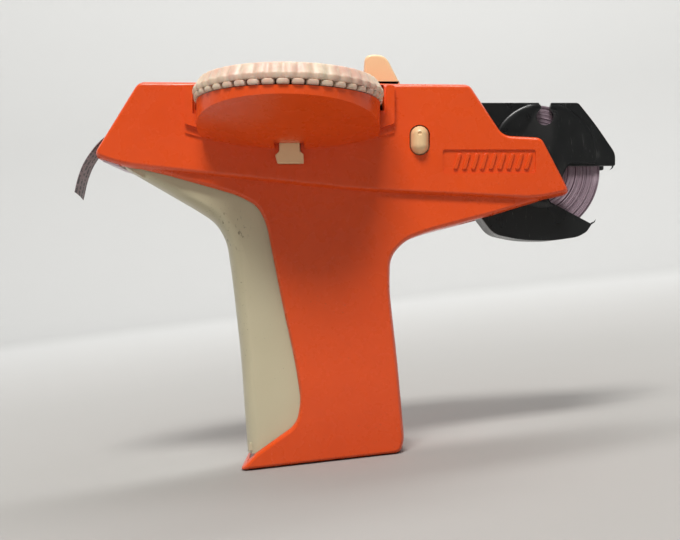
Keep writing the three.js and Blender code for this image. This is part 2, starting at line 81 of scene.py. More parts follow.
SCREWS = [(-40, 41.6), (33, 30), (9, 9), (13, -52)]

TURN = Matrix.Rotation(RAKE, 4, "Y")
TO_ROW = Matrix.Scale(0.001, 4) @ Matrix.Translation(-(TURN @ BASE_CENTRE)) @ TURN


# Mesh helpers

MERGE_DISTANCE = 0.02
SLIVER = 0.01
FLAT_ANGLE = 0.4  # degrees: faces closer than this to one plane become one face
SIDE_SHARE = 0.45  # of a side, the most that the rounding of one of its corners may take
LEAST_REACH = 0.01
LEAST_TURN = 0.2  # keeps a very sharp corner from shooting out when its outline is moved
ROUNDING_SHARE = 0.6  # of an inset, how much it changes the rounding of a corner


def link(name, data):
    obj = bpy.data.objects.new(name, data)
    bpy.context.scene.collection.objects.link(obj)
    return obj


@contextlib.contextmanager
def editing(mesh):
    """Opens a mesh as a bmesh and writes it back."""
    work = bmesh.new()
    work.from_mesh(mesh)
    yield work
    work.to_mesh(mesh)
    work.free()


def new_object(name, vertices, faces):
    mesh = bpy.data.meshes.new(name)
    mesh.from_pydata([tuple(v) for v in vertices], [], faces)
    mesh.validate()
    obj = link(name, mesh)
    with editing(mesh) as work:
        bmesh.ops.recalc_face_normals(work, faces=work.faces)
    return obj


def final_mesh(obj):
    """A new mesh with the object's modifiers applied, or made from its text curve."""
    graph = bpy.context.evaluated_depsgraph_get()
    return bpy.data.meshes.new_from_object(obj.evaluated_get(graph))


def apply_modifiers(obj):
    mesh = final_mesh(obj)
    obj.modifiers.clear()
    obj.data = mesh
    return obj


def combine(obj, others, operation):
    for other in others:
        modifier = obj.modifiers.new(operation, "BOOLEAN")
        modifier.solver = "MANIFOLD"
        modifier.operation = operation
        modifier.object = other
        apply_modifiers(obj)
        bpy.data.objects.remove(other)
    return obj


def cut(obj, *others):
    return combine(obj, others, "DIFFERENCE")


def join(obj, *others):
    return combine(obj, others, "UNION")


def common(obj, *others):
    return combine(obj, others, "INTERSECT")


def soften(obj, width, angle=32):
    """Rounds every edge sharper than the angle, and drops slivers that booleans leave."""
    with editing(obj.data) as work:
        bmesh.ops.remove_doubles(work, verts=work.verts, dist=MERGE_DISTANCE)
        bmesh.ops.dissolve_degenerate(work, dist=SLIVER, edges=work.edges)
        bmesh.ops.dissolve_limit(
            work, angle_limit=math.radians(FLAT_ANGLE), verts=work.verts, edges=work.edges)
    modifier = obj.modifiers.new("edges", "BEVEL")
    modifier.width = width
    modifier.segments = 2
    modifier.limit_method = "ANGLE"
    modifier.angle_limit = math.radians(angle)
    return apply_modifiers(obj)


def finish_piece(obj, name, material, body, replaces=(), angle=38):
    """Moves a head-frame piece into the CAD frame and hands it over.

    Edges sharper than the angle, in degrees, are shaded sharp.
    """
    obj.name = name
    obj.data.transform(TO_ROW)
    obj.data.shade_smooth()
    obj.data.set_sharp_from_angle(angle=math.radians(angle))
    modifier = obj.modifiers.new("normals", "WEIGHTED_NORMAL")
    modifier.keep_sharp = True
    apply_modifiers(obj)
    obj.data.materials.clear()
    obj.data.materials.append(material)
    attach(obj, body)
    if replaces:
        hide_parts(*replaces)


# Outlines in X and Z


def rounded_corner(before, corner, after, steps, even=False):
    """Points of one corner (x, z, reach of the rounding) between its two neighbours."""
    here = Vector(corner[:2])
    radius = corner[2] if len(corner) > 2 else 0
    back = Vector(before[:2]) - here
    ahead = Vector(after[:2]) - here
    reach = min(radius, back.length * SIDE_SHARE, ahead.length * SIDE_SHARE)
    if reach < LEAST_REACH and not even:
        return [here]
    reach = max(reach, LEAST_REACH)
    start = here + back.normalized() * reach
    end = here + ahead.normalized() * reach
    return [
        start * (1 - t) ** 2 + here * 2 * t * (1 - t) + end * t**2
        for t in (k / steps for k in range(steps + 1))
    ]


def outline(corners, steps=8, even=False):
    """Points of a closed outline through corners (x, z, reach of the rounding).

    With even, every corner gives the same number of points, however small its rounding is.
    """
    points = []
    count = len(corners)
    for i, corner in enumerate(corners):
        points += rounded_corner(corners[i - 1], corner, corners[(i + 1) % count], steps, even)
    area = sum(a.cross(b) for a, b in zip(points, points[1:] + points[:1]))
    return points if area > 0 else points[::-1]


def smooth_line(corners):
    """An open line through corners with rounded bends."""
    points = [Vector(corners[0][:2])]
    for before, corner, after in zip(corners, corners[1:], corners[2:]):
        points += rounded_corner(before, corner, after, 8)
    return points + [Vector(corners[-1][:2])]


def resample(points, count):
    """The same line as count points at even distances."""
    lengths = [0.0]
    for a, b in zip(points, points[1:]):
        lengths.append(lengths[-1] + (b - a).length)
    result = []
    k = 0
    for i in range(count):
        target = lengths[-1] * i / (count - 1)
        while k < len(points) - 2 and lengths[k + 1] < target:
            k += 1
        share = (target - lengths[k]) / (lengths[k + 1] - lengths[k])
        result.append(points[k].lerp(points[k + 1], min(share, 1.0)))
    return result


def catmull(points, per_span):
    """A smooth line through every point, with per_span steps from one to the next."""
    result = []
    padded = [points[0] * 2 - points[1]] + points + [points[-1] * 2 - points[-2]]
    for i in range(1, len(padded) - 2):
        a, b, c, d = padded[i - 1:i + 3]
        for k in range(per_span):
            t = k / per_span
            result.append(0.5 * (
                2 * b + (c - a) * t + (2 * a - 5 * b + 4 * c - d) * t**2
                + (3 * b - a - 3 * c + d) * t**3))
    result.append(points[-1])
    return result


def directions(line):
    """For each point of a line, the direction along it and the one across it."""
    last = len(line) - 1
    for i in range(len(line)):
        along = (line[min(i + 1, last)] - line[max(i - 1, 0)]).normalized()
        yield along, Vector((-along.y, along.x))


def shifted(points, depth):
    """The outline moved inwards by depth, or outwards where depth is negative."""
    moved = []
    count = len(points)
    for i, here in enumerate(points):
        along1 = (here - points[i - 1]).normalized()
        along2 = (points[(i + 1) % count] - here).normalized()
        inward = Vector((-along1.y - along2.y, along1.x + along2.x))
        turn = 1 + along1.dot(along2)
        moved.append(here + inward * depth / max(turn, LEAST_TURN))
    return moved


def inset_corners(corners, depth):
    """Corners of a counter-clockwise outline moved inwards, with their rounding kept parallel."""
    raw = [Vector(c[:2]) for c in corners]
    result = []
    for i, (p, c) in enumerate(zip(shifted(raw, depth), corners)):
        before = raw[i] - raw[i - 1]
        after = raw[(i + 1) % len(raw)] - raw[i]
        change = -depth if before.cross(after) > 0 else depth
        reach = c[2] if len(c) > 2 else 0
        result.append((p.x, p.y, max(reach + change * ROUNDING_SHARE, 0) if reach else 0))
    return result


# Solids


def side_faces(start, count):
    """Faces between the loop of count vertices at start and the loop that follows it."""
    return [
        (start + i, start + (i + 1) % count, start + count + (i + 1) % count, start + count + i)
        for i in range(count)
    ]


def stacked(name, loops):
    """A closed solid through loops that all have the same number of vertices."""
    count = len(loops[0])
    top = (len(loops) - 1) * count
    faces = []
    for start in range(0, top, count):
        faces += side_faces(start, count)
    faces.append(tuple(range(count)))
    faces.append(tuple(range(top, top + count))[::-1])
    return new_object(name, [v for loop in loops for v in loop], faces)


def prism(name, points, levels):
    """A closed solid through copies of an outline; levels are (y, inward shift) pairs.

    The outline is either points or corners, which keep their rounding parallel as they shift.
    """
    loops = []
    for y, depth in levels:
        if isinstance(points[0], tuple):
            loop = outline(inset_corners(points, depth), even=True)
        else:
            loop = shifted(points, depth)
        loops.append([(p.x, y, p.y) for p in loop])
    return stacked(name, loops)


def plate(name, points, y0, y1, edge=None, steps=6):
    """An extruded outline; edge is (depth along y, width, outward shift of the middle)."""
    if not edge:
        return prism(name, points, [(y0, 0), (y1, 0)])
    deep, wide, out = edge
    levels = []
    for k in range(steps + 1):
        angle = math.pi / 2 * k / steps
        levels.append((y0 + deep * (1 - math.cos(angle)), wide - out - wide * math.sin(angle)))
    mirrored = [(y0 + y1 - y, depth) for y, depth in reversed(levels)]
    return prism(name, points, levels + mirrored)


def box(x0, x1, y0, y1, z0, z1):
    corners = [Vector((x0, z0)), Vector((x1, z0)), Vector((x1, z1)), Vector((x0, z1))]
    return plate("box", corners, y0, y1)


def circle(x, z, radius, sides):
    return [
        Vector((x + radius * math.cos(a), z + radius * math.sin(a)))
        for a in (2 * math.pi * i / sides for i in range(sides))
    ]


def rod(x, z, radius, y0, y1, sides, edge=0):
    rounding = (edge, edge, 0) if edge else None
    return plate("rod", circle(x, z, radius, sides), y0, y1, rounding, 3)


def turned(name, profile, centre, sides, radius_shift=None):
    """A closed profile of (radius, z) turned about a vertical axis at centre.

    radius_shift gives the change of radius for a share of the turn and a place in the profile.
    """
    vertices = []
    count = len(profile)
    for side in range(sides):
        angle = 2 * math.pi * side / sides
        for k, (radius, z) in enumerate(profile):
            reach = radius + (radius_shift(side / sides, k) if radius_shift else 0)
            vertices.append(
                (centre.x + reach * math.cos(angle), centre.y + reach * math.sin(angle), z))
    faces = []
    for side in range(sides):
        nxt = (side + 1) % sides
        for k in range(count):
            m = (k + 1) % count
            faces.append((side * count + k, nxt * count + k, nxt * count + m, side * count + m))
    return new_object(name, vertices, faces)


# Materials. Noise scales are per metre and bump distances are in metres.


class Nodes:
    """Short-hand for the nodes of a new material, or for one more layer of a finished one."""

    def __init__(self, material):
        if isinstance(material, str):
            material = bpy.data.materials.new(material)
            material.use_nodes = True
        self.material = material
        self.tree = material.node_tree
        self.shader = self.tree.nodes["Principled BSDF"]
        self.place = self.add("ShaderNodeTexCoord").outputs["Object"]

    def add(self, kind, inputs=None, **settings):
        node = self.tree.nodes.new(kind)
        for key, value in settings.items():
            setattr(node, key, value)
        for key, value in (inputs or {}).items():
            self.feed(node.inputs[key], value)
        return node

    def feed(self, socket, value):
        if isinstance(value, bpy.types.NodeSocket):
            self.tree.links.new(value, socket)
        else:
            socket.default_value = value

    def set(self, name, value):
        self.feed(self.shader.inputs[name], value)

    def noise(self, scale, detail, roughness=0.55, vector=None):
        return self.add("ShaderNodeTexNoise", {
            "Vector": vector or self.place, "Scale": scale, "Detail": detail,
            "Roughness": roughness,
        }).outputs["Fac"]

    def streaks(self, scale, turn, detail=3, roughness=0.6):
        """Noise drawn out along the axes with a low scale, after the turn."""
        node = self.add(
            "ShaderNodeMapping", {"Vector": self.place, "Scale": scale, "Rotation": turn})
        return self.noise(1.0, detail, roughness, node.outputs["Vector"])

    def span(self, value, low, high, to_low=0.0, to_high=1.0):
        """Maps low..high to to_low..to_high, and clamps the rest."""
        return self.add("ShaderNodeMapRange", {
            "Value": value, "From Min": low, "From Max": high, "To Min": to_low,
            "To Max": to_high,
        }).outputs["Result"]

    def math(self, operation, a, b):
        return self.add("ShaderNodeMath", {0: a, 1: b}, operation=operation).outputs["Value"]

    def times(self, a, b):
        return self.math("MULTIPLY", a, b)

    def vector(self, operation, a, b=None, output="Vector"):
        inputs = {0: a} if b is None else {0: a, 1: b}
        return self.add("ShaderNodeVectorMath", inputs, operation=operation).outputs[output]

    def edges(self, low, high):
        """Maps how far the surface bends outwards; with low above high, inwards."""
        return self.span(self.add("ShaderNodeNewGeometry").outputs["Pointiness"], low, high)

    def mix(self, share, a, b):
        node = self.add("ShaderNodeMix", data_type="RGBA")
        self.feed(node.inputs[0], share)
        for socket, value in ((node.inputs[6], a), (node.inputs[7], b)):
            self.feed(socket, (*value, 1) if isinstance(value, tuple) else value)
        return node.outputs[2]

    def bump(self, height, distance, strength, normal=None):
        inputs = {"Height": height, "Distance": distance, "Strength": strength}
        if normal:
            inputs["Normal"] = normal
        return self.add("ShaderNodeBump", inputs).outputs["Normal"]

    def finish(self, color, roughness, normal, metallic=0.0, specular=0.5):
        self.set("Base Color", color)
        self.set("Roughness", roughness)
        self.set("Metallic", metallic)
        self.set("Specular IOR Level", specular)
        self.set("Normal", normal)
        return self.material


def moulded(name, color, shade, roughness, dirt_share=0.25, scratch=0.2):
    """Old moulded plastic: slow colour drift, fine texture, hair scratches and a few specks."""
    dirt = (0.1, 0.08, 0.06)
    lighter = tuple(min(1.0, c * 1.25 + 0.04) for c in color)
    n = Nodes(name)
    base = n.mix(n.span(n.noise(22, 3), 0.35, 0.7), color, shade)
    specks = n.span(n.noise(1500, 2, 0.4), 0.69, 0.74)
    patches = n.span(n.noise(60, 3), 0.5, 0.68)
    base = n.mix(n.times(n.times(specks, patches), dirt_share), base, dirt)
    hair = n.streaks((2600, 2600, 120), (0.3, 0.9, 0.2))
    lines = n.times(n.span(hair, 0.66, 0.72), n.span(n.noise(35, 2), 0.48, 0.62))
    base = n.mix(n.times(lines, scratch), base, lighter)
    base = n.mix(n.times(n.edges(0.53, 0.62), scratch * 0.6), base, lighter)
    rough = n.span(n.noise(130, 4), 0.3, 0.75, roughness - 0.05, roughness + 0.08)
    rough = n.math("ADD", rough, n.times(lines, 0.12))
    peel = n.bump(n.noise(420, 3), 0.00004, 0.5)
    grain = n.bump(n.noise(2600, 2), 0.00001, 0.35, peel)
    return n.finish(base, rough, grain)


def dial_plastic():
    """Slightly see-through pinkish cream, mottled, with painted brown shade in the hollows between
    the scallops.
    """
    n = Nodes("dial_plastic")
    base = n.mix(n.span(n.noise(90, 4), 0.4, 0.62), (0.70, 0.56, 0.42), (0.66, 0.42, 0.33))
    base = n.mix(n.span(n.noise(420, 4), 0.5, 0.68, 0, 0.6), base, (0.78, 0.66, 0.53))
    # Painted shade: the hollows, such as those between the scallops, are darkened brown.
    painted_hollow_shade = n.edges(0.49, 0.44)
    base = n.mix(n.times(painted_hollow_shade, 0.45), base, (0.42, 0.24, 0.16))
    n.set("Subsurface Weight", 0.25)
    n.set("Subsurface Radius", (1.0, 0.45, 0.3))
    n.set("Subsurface Scale", 0.002)
    rough = n.span(n.noise(200, 3), 0.3, 0.7, 0.36, 0.5)
    return n.finish(base, rough, n.bump(n.noise(900, 3), 0.00004, 0.5))


def scuffed_cream():
    """The trigger's plastic, with dark rub marks near its knee."""
    material = moulded(
        "cream_plastic", (0.585, 0.53, 0.365), (0.53, 0.475, 0.315), 0.36, dirt_share=0.7)
    n = Nodes(material)
    knee = TO_ROW @ Vector((-41.5, -11, 14))
    away = n.vector("DISTANCE", n.place, tuple(knee), "Value")
    near = n.span(away, 0.004, 0.011, 1, 0)
    marks = n.span(n.streaks((900, 900, 500), (0.4, 0.2, 0.7), 3, 0.7), 0.6, 0.66)
    plain = n.shader.inputs["Base Color"].links[0].from_socket
    n.set("Base Color", n.mix(n.times(near, marks), plain, (0.16, 0.13, 0.09)))
    return material


def scuffed_black():
    """The cassette's glossy black plastic, with grey scuffs, hair scratches and worn edges."""
    n = Nodes("cassette_black")
    drift = n.span(n.noise(40, 4), 0.3, 0.7)
    base = n.mix(drift, (0.0035, 0.004, 0.0045), (0.008, 0.009, 0.0095))
    scuffs = n.streaks((500, 500, 90), (0.2, 0.5, 0.9), 4, 0.65)
    hair = n.streaks((2400, 300, 200), (0.1, 0.6, 0.4))
    marks = n.times(n.span(scuffs, 0.6, 0.76), n.span(n.noise(45, 3), 0.46, 0.62))
    lines = n.times(n.span(hair, 0.66, 0.71), n.span(n.noise(28, 2), 0.46, 0.6))
    base = n.mix(n.times(n.math("ADD", marks, lines), 0.5), base, (0.16, 0.16, 0.155))
    base = n.mix(n.times(n.edges(0.53, 0.61), 0.35), base, (0.12, 0.12, 0.12))
    gloss = n.span(n.noise(90, 4), 0.3, 0.7, 0.24, 0.38)
    rough = n.math("ADD", gloss, n.times(marks, 0.2))
    waves = n.bump(n.noise(60, 2), 0.0001, 0.3)
    return n.finish(base, rough, n.bump(n.noise(700, 3), 0.00003, 0.5, waves), specular=0.45)


def wound_tape():
    """Side of the roll: many thin windings about the roll's axis, lilac with dark gaps."""
    n = Nodes("wound_tape")
    centre = TO_ROW @ Vector((ROLL[0], 0, ROLL[1]))
    offset = n.vector("SUBTRACT", n.place, tuple(centre))
    flat = n.vector("MULTIPLY", offset, (1, 0, 1))
    wobble = n.times(n.math("SUBTRACT", n.noise(30, 2), 0.5), 0.0007)
    radius = n.math("ADD", n.vector("LENGTH", flat, output="Value"), wobble)
    rings = n.add("ShaderNodeCombineXYZ", {"X": radius}).outputs["Vector"]
    fine = n.noise(6000, 3, 0.7, rings)
    broad = n.noise(1500, 2, 0.5, rings)
    base = n.mix(n.span(fine, 0.35, 0.65), (0.17, 0.11, 0.14), (0.46, 0.36, 0.42))
    base = n.mix(n.span(broad, 0.55, 0.62), base, (0.07, 0.035, 0.055))
    base = n.mix(n.span(n.noise(160, 3), 0.55, 0.75, 0, 0.35), base, (0.66, 0.56, 0.62))
    return n.finish(base, n.span(broad, 0.3, 0.7, 0.35, 0.5), n.bump(fine, 0.00012, 0.8))


def printed_tape():
    """Backing of the label tape: muted lilac with short rows of dark generic marks."""
    n = Nodes("printed_tape")
    marks = n.span(n.streaks((1100, 500, 1100), (0, 0, 0), 1, 0.4), 0.48, 0.51)
    rows = n.add(
        "ShaderNodeTexWave", {"Vector": n.place, "Scale": 92.0, "Distortion": 0.0},
        bands_direction="Y")
    ink = n.times(marks, n.span(rows.outputs["Fac"], 0.45, 0.55))
    base = n.mix(n.noise(90, 3), (0.19, 0.13, 0.135), (0.27, 0.19, 0.20))
    base = n.mix(n.times(ink, 0.95), base, (0.012, 0.008, 0.012))
    rough = n.span(n.noise(300, 3), 0.3, 0.7, 0.4, 0.55)
    return n.finish(base, rough, n.bump(marks, 0.00002, 0.4))


def pressed_steel():
    """Brushed sheet steel with a few brown stains."""
    n = Nodes("pressed_steel")
    hair = n.streaks((3000, 500, 500), (0, 0, 0), 4)
    stain = n.span(n.noise(120, 4), 0.45, 0.7)
    base = n.mix(hair, (0.34, 0.34, 0.34), (0.56, 0.56, 0.55))
    base = n.mix(n.times(stain, 0.3), base, (0.22, 0.19, 0.16))
    rough = n.span(hair, 0.2, 0.8, 0.24, 0.42)
    return n.finish(base, rough, n.bump(hair, 0.00001, 0.4), metallic=1.0)


def roller_rubber():
    """Matt black rubber."""
    n = Nodes("roller_rubber")
    base = n.mix(n.noise(300, 3), (0.012, 0.012, 0.012), (0.035, 0.033, 0.03))
    rough = n.span(n.noise(600, 3), 0.3, 0.7, 0.65, 0.85)
    return n.finish(base, rough, n.bump(n.noise(1500, 2), 0.00005, 0.6))


orange = moulded("orange_plastic", (0.80, 0.083, 0.008), (0.74, 0.072, 0.007), 0.27, scratch=0.06)
cream = scuffed_cream()
dial_cream = dial_plastic()
warm_cream = moulded("control_plastic", (0.86, 0.62, 0.36), (0.80, 0.54, 0.29), 0.33)
lilac = moulded("lilac_plastic", (0.72, 0.60, 0.66), (0.66, 0.54, 0.60), 0.45)
black = scuffed_black()
wound = wound_tape()
printed = printed_tape()
steel = pressed_steel()
rubber = roller_rubber()


# Housing

HEAD = [
    (-87, 40.2, 3.2), (-76.3, 36.8, 4), (7, 27.4, 30), (69, 24.9, 4), (80.9, 27.3, 2.2),
    (70.9, 46.6, 2), (57.4, 47.3, 3), (45.5, 65.3, 1.9), (-71, 66.2, 2.4),
]
FRONT_EDGE = [
    (-76.8, 37.1), (-60.9, 33.3), (-45.2, 28.9), (-36, 26.2, 6), (-29.2, 22.4, 5), (-26.2, 16, 5),
    (-20.1, -14.7, 10), (-16.3, -31.6, 10), (-14.1, -46, 3), (-15.4, -54.4, 4), (-29.8, -64.7),
]
REAR_EDGE = [
    (-36.2, -71.3, 2.6), (21.8, -64.8, 3.5), (22.9, -59.9, 8), (20.4, -31.7, 20),
    (17.6, -7, 8), (17.9, 4.5, 7), (23, 10.4, 5), (31, 13.4, 8), (54.7, 19.6), (69.3, 24),
    (80, 27.6),
]
GRIP = FRONT_EDGE + REAR_EDGE + [(70, 40), (-70, 46)]
TRIGGER_BAY = [
    (-83, 42.5), (-83.6, 36), (-60, 10), (-46, -62), (-38, -66.6), (-32.7, -68.2), (-22, -66.2),
    (-9, -58), (-10.5, -45), (-12.5, -30), (-16.5, -13), (-22.5, 18), (-26, 26), (-36, 31),
    (-60, 38),
]
TAPE_SLIT = [(-95, 43), (-78, 46), (-70, 56), (-70, 60), (-80, 60)]
NAMEPLATE = [(36, 33.9, 1), (68.5, 33.9, 1), (68.5, 42.2, 1), (36, 42.2, 1)]
LEVER_SLOT = [(6, 60), (25.5, 60), (25.5, 75), (6, 75)]

# Spans along X that clear the saucer and every piece.
PAST_SAUCER = (-60, 30)
PAST_ALL = (-120, 120)

SAUCER_HALF_WIDTH = 36.7
SAUCER_SLOPE = 12  # rise of the saucer's underside from the face of the head to the rim
SAUCER_SAG = 5.7  # rise from the middle of its underside to either side
BOSS_RADIUS = 3.2
BUTTON_HALF = (3.2, 5)
EDGE_ROUNDING = 0.28


def dial_room():
    """The space that the dial turns in."""
    points = circle(0, 0, DIAL_RADIUS + 0.9, 96)
    return stacked("dial_room", [
        [(DIAL.x + x, DIAL.y + y, z) for x, y in points]
        for z in (SAUCER_RIM - 1.3, DIAL_TOP + 0.45)
    ])


def body_shell():
    """Both housing halves in one, hollow, open at the rear and along the trigger."""
    shell = plate("shell", HEAD, -HEAD_HALF, HEAD_HALF, (6, 2, 0.5))
    join(shell, plate("grip", GRIP, -HANDLE_HALF, HANDLE_HALF, (4, 1.6, 0), 5))
    inner = HEAD_HALF - WALL
    inner_grip = HANDLE_HALF - WALL
    rear = [(REAR_OPENING, 30), (90, 30), (90, 60), (REAR_OPENING, 63)]
    return cut(
        shell,
        plate("head_space", outline(inset_corners(HEAD, WALL)), -inner, inner),
        plate("grip_space", outline(inset_corners(GRIP, WALL)), -inner_grip, inner_grip),
        plate("bay", outline(TRIGGER_BAY), 0.2 - inner_grip, inner_grip - 0.2),
        box(REAR_OPENING, 110, -9, 9, 2, 80),
        plate("rear", outline(rear), -inner, inner),
        common(dial_room(), box(*PAST_SAUCER, 0.5 - HEAD_HALF, 20, 50, 70)),
        plate("slit", outline(TAPE_SLIT), -7, 7),
    )


def saucer_floor(x, y):
    out = max(0.0, -HEAD_HALF - y) / (SAUCER_RADIUS - DIAL.y - HEAD_HALF)
    across = (x - DIAL.x) / SAUCER_HALF_WIDTH
    return SAUCER_LOWEST + SAUCER_SLOPE * out**1.2 + SAUCER_SAG * across**2


def saucer_block(radius, top, lift):
    """A round block about the dial axis whose underside follows the saucer floor."""
    rings, sides = 18, 120
    vertices = [(DIAL.x, DIAL.y, top), (DIAL.x, DIAL.y, saucer_floor(DIAL.x, DIAL.y) + lift)]
    for ring in range(1, rings + 1):
        for side in range(sides):
            angle = 2 * math.pi * side / sides
            x = DIAL.x + radius * ring / rings * math.cos(angle)
            y = DIAL.y + radius * ring / rings * math.sin(angle)
            vertices += [(x, y, saucer_floor(x, y) + lift), (x, y, top)]

    def at(ring, side, upper):
        return 2 + ((ring - 1) * sides + side % sides) * 2 + upper

    faces = []
    for side in range(sides):
        nxt = side + 1
        faces.append((0, at(1, side, 1), at(1, nxt, 1)))
        faces.append((1, at(1, nxt, 0), at(1, side, 0)))
        for ring in range(1, rings):
            for upper in (0, 1):
                faces.append((
                    at(ring, side, upper), at(ring + 1, side, upper),
                    at(ring + 1, nxt, upper), at(ring, nxt, upper),
                ))
        faces.append((
            at(rings, side, 0), at(rings, nxt, 0), at(rings, nxt, 1), at(rings, side, 1)))
    return new_object("saucer", vertices, faces)


def pad(side):
    """The raised pad beside the saucer; side is -1 towards the nose and +1 towards the rear."""
    reach = [
        (SHOULDER, 64.3, 0.8), (33.7, 64.3), (33.7, 54.4), (30, 54.4), (30, 48.9),
        (SHOULDER, 51, 0.8),
    ]
    corners = [(DIAL.x + side * c[0], *c[1:]) for c in reach]
    return plate("pad", outline(corners, 4), -HEAD_HALF - 2, -HEAD_HALF + 1)


def back_plate():
    """The low raised field behind the saucer, with a lower edge that sags in the middle."""
    front, rear, level, sag, steps = DIAL.x - SHOULDER, DIAL.x + SHOULDER, 48, 22, 24
    points = [Vector(c) for c in ((rear, 52), (front, 52), (front, level))]
    for k in range(1, steps + 1):
        t = k / steps
        points.append(Vector((front + 2 * SHOULDER * t, level - sag * t * (1 - t))))
    return plate("back_plate", points, -HEAD_HALF - 0.6, -HEAD_HALF + 1)


def oval(grow, y0, y1, edge=None, steps=6):
    """The release button's upright oval, made larger by grow."""
    width, height = (half + grow for half in BUTTON_HALF)
    x, z = BUTTON
    points = []
    for k in range(64):
        angle = 2 * math.pi * k / 64
        c, s = math.cos(angle), math.sin(angle)
        points.append(Vector((x + width * c, z + width * s + math.copysign(height - width, s))))
    return plate("oval", points, y0, y1, edge, steps)


def badge_ribs():
    """Generic raised slanted ribs in the nameplate recess."""
    first, pitch, wide, slant, low, high, rounding = 39.6, 3.1, 1.5, 1.6, 35.3, 40.8, 0.5
    ribs = []
    for k in range(9):
        x = first + pitch * k
        corners = [
            (x, low, rounding), (x + wide, low, rounding),
            (x + slant + wide, high, rounding), (x + slant, high, rounding),
        ]
        ribs.append(plate(
            "rib", outline(corners, 4), -HEAD_HALF - 0.1, -HEAD_HALF + 1.2, (0.3, 0.3, 0), 3))
    return ribs


def bosses(radius, y0, y1):
    return [rod(x, z, radius, y0, y1, 24) for x, z in SCREWS]


def pivot_hole():
    return rod(*PIVOT, PIVOT_BORE, -14.8, 14.8, 24)


def make_housing():
    shell = body_shell()
    far = link("far", shell.data.copy())
    split = GAP / 2
    # The right half has a tab under the base that reaches into the left one.
    tab_start, tab_end, tab_y = BASE_CENTRE.x - 6, BASE_CENTRE.x + 6, -4

    left = common(shell, box(*PAST_ALL, -60, -split, -90, 90))
    cut(left, box(tab_start - GAP, tab_end + GAP, tab_y - GAP, 1, -75, -60))
    bowl = saucer_block(SAUCER_RADIUS, SAUCER_RIM, 0)
    cut(bowl, saucer_block(SAUCER_RADIUS - SAUCER_SKIN, SAUCER_RIM + 5, SAUCER_SKIN))
    common(bowl, box(*PAST_SAUCER, -60, -HEAD_HALF + 1, 30, 60))
    join(
        left, bowl, back_plate(), pad(-1), pad(1),
        *bosses(BOSS_RADIUS, 0.1 - HANDLE_HALF, -split))
    cut(
        left,
        plate("recess", outline(NAMEPLATE, 4), -HEAD_HALF - 1, -HEAD_HALF + 0.6),
        oval(0.35, -20, -10),
        # Room for the latch's face, and the slot that it slides in.
        box(LATCH_X - 5.2, LATCH_X + 5.2, -27, -HEAD_HALF - 0.02, LATCH_BOTTOM, LATCH_TOP - 1.6),
        box(LATCH_X - 3.8, LATCH_X + 3.8, -19.3, -14, LATCH_BOTTOM + 0.2, 50.5),
        pivot_hole(),
        *bosses(1.6, -12, 0),
        common(dial_room(), box(*PAST_SAUCER, -HEAD_HALF - 1, -10, 50, 70)),
    )
    soften(left, EDGE_ROUNDING)
    join(left, *badge_ribs())
    finish_piece(left, "left_shell", orange, "root", ["left_housing"])

    right = common(far, join(
        box(*PAST_ALL, split, 60, -90, 90), box(tab_start, tab_end, tab_y, 1, -75, -62)))
    join(right, *bosses(BOSS_RADIUS, split, HANDLE_HALF - 0.1))
    cut(
        right,
        plate("lever_slot", outline(LEVER_SLOT), 6.6, 13.4),
        pivot_hole(),
        *bosses(1.75, -1, 20),
        *bosses(3.1, 12.5, 20),
    )
    soften(right, EDGE_ROUNDING)
    finish_piece(right, "right_shell", orange, "root", ["right_housing"])


def make_screws():
    for i, (x, z) in enumerate(SCREWS, 1):
        screw = join(rod(x, z, 1.3, -11, 13.5, 20), rod(x, z, 2.8, 12.8, 14.4, 36, 0.35))
        cut(screw, box(x - 3, x + 3, 13.7, 16, z - 0.4, z + 0.4))
        finish_piece(screw, f"screw_{i}", steel, "root", [f"housing_screw_{i}"])


# Trigger

TRIGGER_FRONT = [
    (-77.6, 36.2), (-63.9, 28.3), (-52, 21.4, 6), (-45.4, 17, 7), (-41.5, 10.2, 7),
    (-39.5, -3.4, 10), (-36.3, -31.5, 14), (-34.7, -55.4, 8), (-33.9, -66.2),
]
TRIGGER_LIMIT = [
    (-83, 44.5), (-83, 34), (-66, 20), (-50, 0), (-42, -40), (-34.2, -66.2), (-20, -63.2),
    (-9.5, -57, 3), (-9, -50), (-11, -31), (-14.8, -14), (-19, 6), (-12.2, 24), (-12.2, 30),
    (-34, 30.5), (-54, 35), (-54, 44.5),
]
TRIGGER_NECK = [(-77.4, 40), (-77.2, 37.2), (-70, 33), (-66, 39), (-74, 42.5)]
TRIGGER_HORN = [(-48.5, 21), (-43.6, 17.5), (-12.5, 26.5), (-12.5, 29.5), (-46, 29.5)]
TRIGGER_FOOT = [(-32.6, -64.6), (-20, -62.4), (-12, -58), (-13, -56), (-32.4, -62)]
TRIGGER_HALF = 12
TRIGGER_WALL = 2


def ramp(value, start, length):
    """0 up to start, then evenly up to 1 over the length."""
    return min(1, max(0, (value - start) / length))


def trigger_section(depth, skin, front_round):
    """The outer line of a U section, or an inner one a skin away from it.

    Its points are (distance from the front, y), from one back edge to the other.
    """
    half = TRIGGER_HALF - skin
    points = [(depth, -half)]
    for k in range(-10, 11):
        angle = math.pi / 2 * k / 10
        bulge = front_round - (front_round - skin * 0.2) * math.cos(angle) ** 0.8
        points.append((skin + bulge, half * math.sin(angle)))
    points.append((depth, half))
    return points


